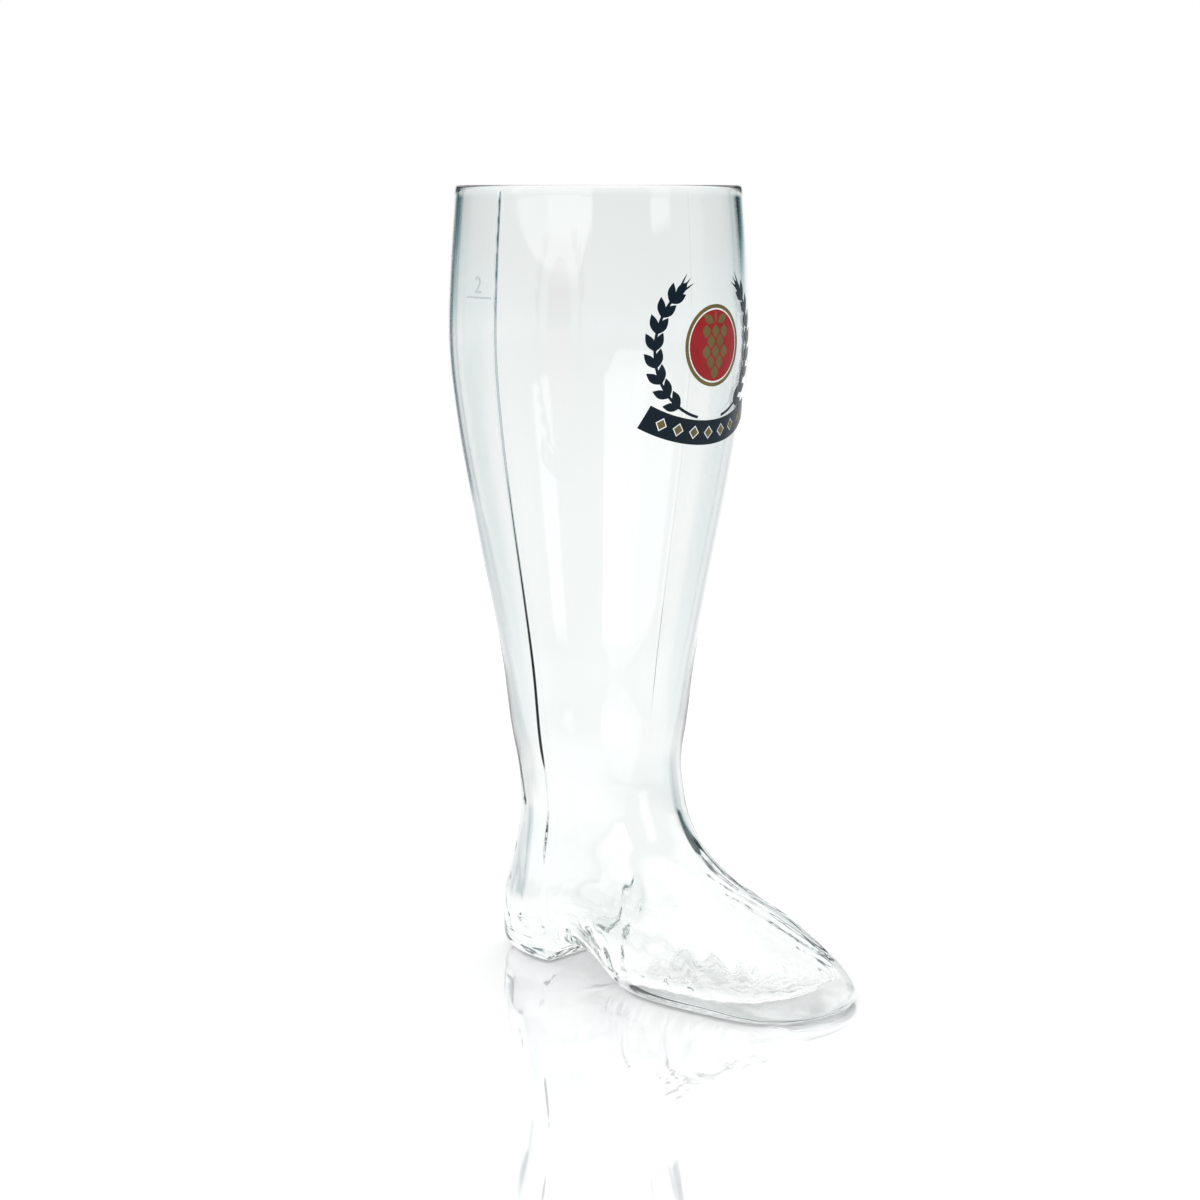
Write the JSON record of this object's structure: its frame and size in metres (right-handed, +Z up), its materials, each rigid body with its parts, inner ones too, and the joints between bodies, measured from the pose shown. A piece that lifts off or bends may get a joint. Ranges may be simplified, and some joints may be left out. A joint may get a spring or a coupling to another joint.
{
  "type": "boot-shaped beer glass",
  "caption": "Tall clear drinking glass shaped like a riding boot, with a fired wreath print and a fill mark.",
  "frame": {"origin": "on the table, at the middle of the glass's length and width", "axes": "+X towards the toe, +Z up through the mouth, -Y towards the side with the fill mark"},
  "size_m": [0.1968, 0.1302, 0.34],
  "materials": {
    "boot_glass": "clear polished",
    "enamel_navy": "fired enamel, satin",
    "enamel_gold": "fired enamel, satin",
    "enamel_red": "fired enamel, satin",
    "fill_mark": "fired enamel, matt"
  },
  "bodies": {
    "root": {"boot_glass": "boot_glass", "enamel_navy": "enamel_navy", "enamel_gold": "enamel_gold", "enamel_red": "enamel_red", "fill_mark": "fill_mark"}
  },
  "joints": []
}
